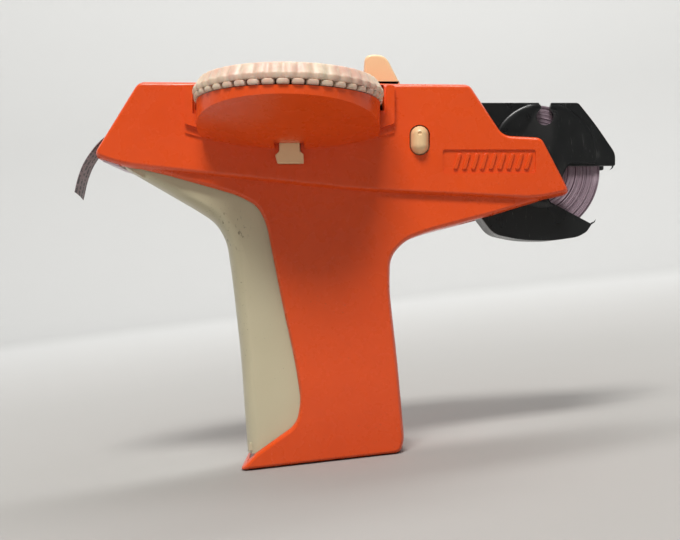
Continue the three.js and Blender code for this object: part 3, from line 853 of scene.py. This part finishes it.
def trigger_walls():
    """The U-shaped wall that follows the trigger's front, shallow at the top and then deep."""
    front = resample(smooth_line(TRIGGER_FRONT), 90)
    vertices, faces = [], []
    for i, (here, (_, inward)) in enumerate(zip(front, directions(front))):
        down = i / (len(front) - 1)
        depth = 6.5 + 17.5 * ramp(down, 0.1, 0.3)
        front_round = 3.2 + 3.3 * ramp(down, 0.05, 0.3)
        outer = trigger_section(depth, 0, front_round)
        inner = trigger_section(depth, TRIGGER_WALL, front_round)[::-1]
        vertices += [(here.x + inward.x * u, y, here.y + inward.y * u) for u, y in outer + inner]
    size = len(outer) + len(inner)
    last = len(front) - 1
    for i in range(last):
        faces += side_faces(i * size, size)
    for i in (0, last):
        for k in range(size // 2 - 1):
            near, far = i * size + k, (i + 1) * size - 1 - k
            face = (near, near + 1, far - 1, far)
            faces.append(face if i == 0 else face[::-1])
    return new_object("trigger_shell", vertices, faces)


def make_trigger():
    trigger = trigger_walls()
    join(
        trigger,
        rod(*PIVOT, 3.4, -TRIGGER_HALF, TRIGGER_HALF, 40, 0.4),
        plate("neck", outline(TRIGGER_NECK), -11.8, 11.8),
        plate("horn", outline(TRIGGER_HORN), -3.5, 3.5),
        join(box(-60, -58, 6, 7.2, 28.5, 42), rod(-59, 41, 0.8, 6, 9.2, 20)),
        plate("foot", outline(TRIGGER_FOOT), -10.4, 10.4),
    )
    common(trigger, plate("limit", outline(TRIGGER_LIMIT), -14, 14))
    cut(trigger, rod(*PIVOT, PIVOT_BORE, -15, 15, 24))
    soften(trigger, 0.3, angle=40)
    finish_piece(trigger, "trigger_shell", cream, "trigger", ["trigger"], 42)


# Dial

FINGER_DISC_BOTTOM = 57.8
FINGER_DISC_TOP = 58.85
TAB_SHARE = 0.93  # of a scallop's pitch, taken up by a finger tab
# Radius and share of the half width, from the root of a tab to its tip.
TAB_OUTLINE = ((23.5, 0.8), (30.8, 0.98), (31.8, 0.86), (32.25, 0.55))
# Height and how far the outline is drawn in there, from the bottom of a tab to its top.
TAB_LEVELS = ((57.3, 0.35), (57.55, 0.1), (57.9, 0), (58.6, 0), (58.8, 0.06), (58.9, 0.2))
SCALLOP_DEPTH = 0.75
DIGIT_SIZE = 2.6
DIGIT_INSET = 4.4  # from the rim to the middle of a digit


def make_letter_disc():
    """The scalloped disc; each profile row is (radius, z, share of the scallop's depth)."""
    radius, top = DIAL_RADIUS, DIAL_TOP
    rows = [
        (DIAL_BORE, 58.95, 0), (radius - 0.9, 58.95, 0.3), (radius - 0.4, 59.1, 0.8),
        (radius - 0.1, 59.6, 1), (radius, 60.5, 1), (radius - 0.1, 60.9, 1),
        (radius - 0.45, 61.3, 1), (radius - 1.3, 62.8, 0.75), (radius - 1.9, 63.8, 0.6),
        (radius - 2.3, 64.3, 0.45), (radius - 2.8, top, 0.3), (26.5, top, 0), (26, 64.3, 0),
        (25.6, 63.9, 0), (12.5, 63.9, 0), (12, 64.2, 0), (11.6, top, 0), (DIAL_BORE, top, 0),
    ]

    def scallop(share, k):
        wave = (0.5 - 0.5 * math.cos(2 * math.pi * SCALLOPS * share)) ** 1.6
        return -SCALLOP_DEPTH * wave * rows[k][2]

    disc = turned("letter_disc", [row[:2] for row in rows], DIAL, SCALLOPS * 12, scallop)
    join(disc, *(digit(k) for k in range(SCALLOPS)))
    finish_piece(disc, "letter_disc", dial_cream, "dial", ["dial_letter_disc"], 32)


def digit(k):
    """A raised digit on the top of the disc, the kth around the dial: 0 to 9 in turn."""
    curve = bpy.data.curves.new("digit", "FONT")
    curve.body = str(k % 10)
    curve.size = DIGIT_SIZE
    curve.extrude = 0.15
    curve.align_x = curve.align_y = "CENTER"
    curve.resolution_u = 2
    text = link("digit_text", curve)
    mesh = final_mesh(text)
    bpy.data.objects.remove(text)
    spin = Matrix.Rotation(2 * math.pi * k / SCALLOPS, 4, "Z")
    out = Matrix.Translation(Vector((0, DIGIT_INSET - DIAL_RADIUS, DIAL_TOP)))
    mesh.transform(Matrix.Translation(DIAL) @ spin @ out)
    with editing(mesh) as work:
        bmesh.ops.remove_doubles(work, verts=work.verts, dist=0.001)
        bmesh.ops.recalc_face_normals(work, faces=work.faces)
    return link("digit", mesh)


def finger_tab(k):
    """A rounded tab under the hollow after scallop k; its root keeps to the disc."""
    half = math.pi / SCALLOPS * TAB_SHARE
    centre = 2 * math.pi * (k + 0.5) / SCALLOPS
    points = [(r, share * half) for r, share in TAB_OUTLINE]
    points = [(r, -a) for r, a in points] + points[::-1]
    loops = []
    for z, inset in TAB_LEVELS:
        loop = []
        for r, a in points:
            root = r < 26
            reach = r if root else r - inset
            turn = centre + a * (1 - inset / 2.2)
            height = max(z, FINGER_DISC_BOTTOM) if root else z
            loop.append((DIAL.x + reach * math.cos(turn), DIAL.y + reach * math.sin(turn), height))
        loops.append(loop)
    return stacked("tab", loops)


def make_finger_disc():
    low, high = FINGER_DISC_BOTTOM, FINGER_DISC_TOP
    profile = [(DIAL_BORE, low), (25, low), (25.3, low + 0.5), (25, high), (DIAL_BORE, high)]
    disc = turned("finger_disc", profile, DIAL, 84)
    join(disc, *(finger_tab(k) for k in range(SCALLOPS)))
    finish_piece(disc, "finger_disc", dial_cream, "dial", ["dial_finger_disc"], 40)


def make_hub():
    profile = [
        (0.4, 64.5), (2.9, 64.5), (2.9, 54), (4, 54), (4, 64.9), (5.2, 64.9), (5.4, 65.1),
        (5.2, 65.5), (4.4, 65.9), (3.2, 66), (2.6, 65.8), (0.4, 65.8),
    ]
    hub = turned("hub_cap", profile, DIAL, 64)
    finish_piece(hub, "hub_cap", dial_cream, "dial", ["dial_hub"])


# Controls

LEVER_AXIS = (15.5, 55.2)
LEVER_FIN = [(8.9, 68.9, 0.6), (22.6, 68.9, 0.6), (16.8, 80.2, 3.4), (9.1, 80.2, 3.0)]
LEVER_STEM = [(9.2, 69.4), (9.4, 62), (11.5, 55), (19.5, 55), (22, 62), (22.4, 69.4)]
LEVER_ARM = [(13.5, 54), (14.3, 48), (16.7, 48), (17.5, 54)]


def make_latch():
    x, bottom = LATCH_X, LATCH_BOTTOM
    corners = [
        (x + 5, bottom + 0.3, 0.3), (x + 4.9, bottom + 3.6, 0.4), (x + 3.6, bottom + 4.6, 0.3),
        (x + 3.6, bottom + 10.2, 0.3), (x - 3.6, bottom + 10.2, 0.3), (x - 3.6, bottom + 4.6, 0.3),
        (x - 5, bottom + 3.2, 0.4), (x - 4.2, bottom + 0.3, 0.3),
    ]
    block = plate("latch_block", outline(corners, 4), -18.8, -17.2, (0.35, 0.35, 0), 3)
    neck = box(x - 3.5, x + 3.5, -17.8, -13.8, bottom + 0.6, bottom + 10)
    slider = box(x - 7.5, x + 7.5, -14.4, -13.2, bottom - 0.6, bottom + 6)
    join(block, neck, slider)
    soften(block, 0.12)
    finish_piece(block, "latch_block", warm_cream, "latch", ["dial_latch"])


def ball(centre, radius):
    mesh = bpy.data.meshes.new("ball")
    with editing(mesh) as work:
        bmesh.ops.create_uvsphere(work, u_segments=20, v_segments=12, radius=radius)
        bmesh.ops.translate(work, verts=work.verts, vec=centre)
    return link("ball", mesh)


def make_button():
    x, z = BUTTON
    dome = oval(0, -20.2, -9, (4.4, 2.9, 0), 10)
    common(dome, box(x - 20, x + 20, -30, -13, z - 20, z + 20))
    flange = box(x - 5, x + 5, -14.5, -13, z - 7, z + 7)
    join(dome, flange, rod(x, z, 1.5, -13.2, -10.8, 24))
    cut(dome, ball(Vector((x - 0.3, -20.5, z + 1.9)), 0.85))
    finish_piece(
        dome, "oval_button", warm_cream, "release_button", ["release_button"], 50)


def make_cut_lever():
    fin = plate("thumb_fin", outline(LEVER_FIN), 1.6, 12.6, (1.4, 1.1, 0), 6)
    stem = plate("stem", outline(LEVER_STEM), 7.7, 12)
    arm = plate("arm", outline(LEVER_ARM), 7.7, 9.3)
    join(fin, stem, arm, rod(*LEVER_AXIS, 4.2, 7.7, 12, 40))
    cut(fin, rod(*LEVER_AXIS, 1.7, 5, 15, 24))
    finish_piece(fin, "thumb_fin", warm_cream, "cut_lever", ["cut_lever"])


# Tape and cassette

CASSETTE_SIDE = [
    (44.2, 60.4, 1), (44.2, 28), (51.2, 18.5, 2), (55.3, 13, 3), (65.2, 10.8, 6), (76.3, 10.5, 6),
    (85.8, 11.9, 2), (89.1, 13.8, 1), (90.9, 16.6, 0.5), (76, 24.5), (74, 28, 1), (80, 33, 1),
    (82.1, 37.5, 1), (99.3, 37.6, 0.6), (99.4, 42.1, 2), (92.1, 52.8, 6), (86, 60.4, 1),
]
CASSETTE_KEYHOLE = [(72.3, 56.5), (75.4, 56.5), (75.6, 58.6), (76.8, 62), (70.9, 62), (72.4, 58.9)]
# Slivers of flash left on two corners of the moulding.
WHISKERS = [
    [(98.9, 38.2), (98.3, 38.2), (98, 36.9), (97.2, 36), (98.2, 36.6), (98.6, 37.1)],
    [(90.2, 16.1), (90.6, 17.1), (91.6, 17.5), (92.3, 18.3), (91.9, 17.2), (91, 16.6)],
]
NOSE_SOLE = [(-84.3, 40, 0.4), (-84, 38.3, 0.8), (-77.9, 36.3, 0.5), (-77.9, 39, 0.3)]
TAIL_ROUTE = [
    (-47, 59.2), (-57, 59.1), (-66, 57.6), (-76, 53.4), (-83, 49.6), (-87.6, 46), (-92.2, 39.6),
    (-94.6, 33.6), (-96, 27.2),
]
TAPE_HALF_WIDTH = 6
TAPE_HALF_THICKNESS = 0.125
SPOOL_RADIUS = 7.8
WINDINGS = 34


def cassette_half(name, side):
    """A side wall with its part of the rim; side is -1 for the near half and +1 for the far."""
    near, far = sorted((side * CASSETTE_OUTER, side * CASSETTE_INNER))
    overlap = CASSETTE_INNER + 0.2
    points = outline(CASSETTE_SIDE)
    half = plate(name, points, near, far, (0.3, 0.3, 0), 3)
    wall = plate("wall", points, -overlap, overlap)
    cut(wall, rod(*ROLL, ROLL_RADIUS + 0.5, -CASSETTE_INNER, CASSETTE_INNER, 120))
    common(wall, box(50, 91, -10, 10, 0, 19.5))
    front = box(44.2, 45.9, -overlap, overlap, 26, 57.5)
    own_side = box(40, 110, *sorted((side * 20, side * GAP / 2)), 0, 70)
    return join(half, common(join(wall, front), own_side))


def make_nose_guide():
    """The guide's sole closes the underside of the nose; its body is as in the CAD model."""
    sole = plate("sole", outline(NOSE_SOLE, 4), -14.2, 14.2, (0.5, 0.3, 0), 3)
    finish_piece(sole, "nose_guide_sole", lilac, "root")


def make_cassette():
    near = soften(cassette_half("near", -1), 0.25)
    outer = CASSETTE_OUTER
    disc = plate(
        "disc", circle(73.4, 41.5, 19, 120), -outer - 0.8, -outer + 0.8, (0.8, 2.4, 0), 8)
    common(disc, plate("trim", outline(inset_corners(CASSETTE_SIDE, 0.8)), -10, 0))
    join(near, disc)
    hole = (-12, -CASSETTE_INNER + 1)
    cut(near, rod(73.8, 55.2, 3.1, *hole, 36), plate("mouth", outline(CASSETTE_KEYHOLE), *hole))
    for corners in WHISKERS:
        points = [Vector(c) for c in corners]
        join(near, plate("whisker", points, -outer + 0.1, -outer + 0.4))
    finish_piece(
        near, "cassette_near", black, "cassette", ["cassette_left_half"], 24)

    far = cassette_half("far", 1)
    join(far, rod(*ROLL, 5, -5.8, CASSETTE_INNER + 0.2, 48))
    soften(far, 0.25)
    finish_piece(far, "cassette_far", black, "cassette", ["cassette_right_half"])


def make_roll():
    """Wound tape: the windings stand slightly proud of each other in a fixed uneven pattern."""
    step = (ROLL_RADIUS - SPOOL_RADIUS) / WINDINGS
    profile = []
    for k in range(WINDINGS):
        proud = 0.16 * math.sin(k * 2.4) + 0.12 * math.sin(k * 5.1 + 1)
        y = -5.75 - max(-0.2, min(0.22, proud))
        start = SPOOL_RADIUS + k * step
        profile += [
            (start + 0.04, y + 0.12), (start + 0.12, y), (start + step - 0.12, y),
            (start + step - 0.04, y + 0.12),
        ]
    profile += [(ROLL_RADIUS, -5.6), (ROLL_RADIUS, 5.9), (SPOOL_RADIUS, 5.9)]
    ring = turned("tape_windings", profile, Vector(), 160)
    place = Matrix.Translation(Vector((ROLL[0], 0, ROLL[1])))
    ring.data.transform(place @ Matrix.Rotation(-math.pi / 2, 4, "X"))
    finish_piece(ring, "tape_windings", wound, "reel", ["tape_roll"], 25)


def make_tail():
    """The end of the label tape out of the nose; its last part cups and has a slanted end."""
    across = 7
    line = catmull([Vector(p) for p in TAIL_ROUTE], 8)
    count = len(line)
    top, bottom = [], []
    for i, (here, (along, normal)) in enumerate(zip(line, directions(line))):
        free = max(0.0, i / (count - 1) - 0.6) / 0.4
        for k in range(across):
            share = k / (across - 1) * 2 - 1
            cup = 0.35 * free * share**2
            slide = along * share * free
            for side, rows in ((TAPE_HALF_THICKNESS, top), (-TAPE_HALF_THICKNESS, bottom)):
                point = here + slide + normal * (side - cup)
                rows.append((point.x, TAPE_HALF_WIDTH * share, point.y))
    shift = len(top)
    faces = []
    for i in range(count - 1):
        for k in range(across - 1):
            a = i * across + k
            b = a + shift
            faces.append((a, a + 1, a + across + 1, a + across))
            faces.append((b, b + across, b + across + 1, b + 1))
        for a in (i * across, (i + 1) * across - 1):
            faces.append((a, a + across, shift + a + across, shift + a))
    for i in (0, count - 1):
        for a in range(i * across, (i + 1) * across - 1):
            faces.append((a, a + 1, shift + a + 1, shift + a))
    strip = new_object("label_strip", top + bottom, faces)
    finish_piece(strip, "label_strip", printed, "root", ["tape_tail"], 50)


# Springs

BUTTON_SPRING_Y = -8.4
TRIGGER_SPRING_START = (-33, 0, -25)
TRIGGER_SPRING_END = (16, 0, -25)


def coil(name, start, along, radius, length, turns, wire):
    """A spring of round wire, of radius wire, from start in the direction along."""
    around, per_turn = 8, 24
    aim = Vector((0, 0, 1)).rotation_difference(Vector(along)).to_matrix()
    steps = turns * per_turn
    loops = []
    for k in range(steps + 1):
        angle = 2 * math.pi * k / per_turn
        out = Vector((math.cos(angle), math.sin(angle), 0))
        centre = out * radius + Vector((0, 0, length * k / steps))
        loop = []
        for m in range(around):
            turn = 2 * math.pi * m / around
            point = centre + out * wire * math.cos(turn) + Vector((0, 0, wire * math.sin(turn)))
            loop.append(Vector(start) + aim @ point)
        loops.append(loop)
    return stacked(name, loops)


def make_springs():
    """The two springs that a thumb or the trigger presses."""
    length = TRIGGER_SPRING_END[0] - TRIGGER_SPRING_START[0]
    main = coil("trigger_coil", TRIGGER_SPRING_START, (1, 0, 0), 4.2, length, 8, 0.6)
    finish_piece(main, "trigger_coil", steel, "root", ["trigger_spring"], 60)
    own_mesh(main)

    start = Vector((BUTTON[0], BUTTON_SPRING_Y, BUTTON[1]))
    small = coil("button_coil", start, (0, -1, 0), 2.6, 4.2, 3, 0.35)
    finish_piece(small, "button_coil", steel, "root", ["release_button_spring"], 60)
    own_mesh(small)


# CAD pieces that keep their own shape


def dress_cad():
    looks = {
        steel: [
            "trigger_pivot_pin", "feed_pawl", "dial_axle", "dial_detent_spring", "press_plunger",
            "press_spring", "mechanism_frame", "feed_shaft", "ratchet_wheel", "pinch_shaft",
            "cut_lever_pin", "cut_lever_spring", "cutter_link", "cutter_blade", "release_leaf",
            "tape_guide",
        ],
        rubber: ["feed_roller", "pinch_roller"],
        lilac: ["nose_guide", "spool_core"],
        printed: ["tape_leader"],
    }
    for material, names in looks.items():
        for name in names:
            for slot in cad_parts[name].material_slots:
                slot.material = material


# Camera, floor and lights

EYE_DISTANCE = 325  # millimetres in front of the origin of the head frame
SENSOR_WIDTH = 36
FOCAL_SHARE = 880 / 680  # focal length as a share of the width of the picture


def make_camera():
    data = bpy.data.cameras.new("camera")
    data.sensor_width = SENSOR_WIDTH
    data.lens = FOCAL_SHARE * SENSOR_WIDTH
    data.clip_start = 0.01
    data.clip_end = 20
    camera = link("camera", data)
    eye = TO_ROW @ Vector((0, -EYE_DISTANCE, 0))
    camera.matrix_world = Matrix.Translation(eye) @ TURN @ Matrix.Rotation(math.pi / 2, 4, "X")
    bpy.context.scene.camera = camera


def make_floor():
    """A pale floor, in metres, that curves up into a round wall well away from the gun; it is
    painted lighter towards the wall.
    """
    reach, bend, height, sides = 1.5, 0.45, 2.3, 96
    profile = [(0.25 * k, 0.0) for k in range(1, 7)]
    for k in range(1, 17):
        angle = math.pi / 2 * k / 16
        profile.append((reach + bend * math.sin(angle), bend * (1 - math.cos(angle))))
    profile.append((reach + bend, height))
    vertices = [(0, 0, 0)]
    for radius, z in profile:
        vertices += [(x, y, z) for x, y in circle(0, 0, radius, sides)]
    faces = [(0, 1 + side, 1 + (side + 1) % sides) for side in range(sides)]
    for ring in range(len(profile) - 1):
        faces += side_faces(1 + ring * sides, sides)
    floor = new_object("floor", vertices, faces)
    floor.data.shade_smooth()

    n = Nodes("pale_paper")
    flat = n.vector("MULTIPLY", n.place, (1, 1, 0))
    away = n.vector("LENGTH", flat, output="Value")
    near = n.mix(n.noise(6, 3), (0.35, 0.34, 0.325), (0.38, 0.37, 0.355))
    # Painted light: the floor is darker near the gun and painted lighter with distance, so the wall
    # stands in for a brightly lit backdrop.
    base = n.mix(n.span(away, 0.1, 1.1), near, (0.62, 0.62, 0.61))
    fibres = n.bump(n.noise(900, 2), 0.00004, 0.3)
    floor.data.materials.append(n.finish(base, 0.85, fibres, specular=0.2))


def area_light(name, place, target, size, power, color=(1, 1, 1)):
    data = bpy.data.lights.new(name, "AREA")
    data.shape = "RECTANGLE"
    data.size, data.size_y = size
    data.energy = power
    data.color = color
    light = link(name, data)
    light.location = place
    light.rotation_euler = (Vector(target) - Vector(place)).to_track_quat("-Z", "Y").to_euler()


def make_lights():
    """A soft key from above, a weak fill from the front, and one for the wall behind."""
    world = bpy.data.worlds.new("studio")
    bpy.context.scene.world = world
    world.use_nodes = True
    background = world.node_tree.nodes["Background"]
    background.inputs["Color"].default_value = (0.95, 0.97, 1.0, 1)
    background.inputs["Strength"].default_value = 0.07
    aim = (0, 0, 0.08)
    area_light("top", (-0.05, -0.62, 1.15), aim, (0.5, 0.25), 16, (1.0, 0.985, 0.96))
    area_light("front", (-0.8, -1.3, 0.35), aim, (0.9, 0.9), 0.35, (0.97, 0.98, 1.0))
    area_light("back", (0.2, 0.45, 1.6), (0, 1.6, 0.5), (1.6, 0.6), 31)
    bpy.context.scene.view_settings.view_transform = "Standard"


make_camera()
make_floor()
make_lights()
make_housing()
make_screws()
make_trigger()
make_letter_disc()
make_finger_disc()
make_hub()
make_latch()
make_button()
make_cut_lever()
make_nose_guide()
make_cassette()
make_roll()
make_tail()
make_springs()
dress_cad()
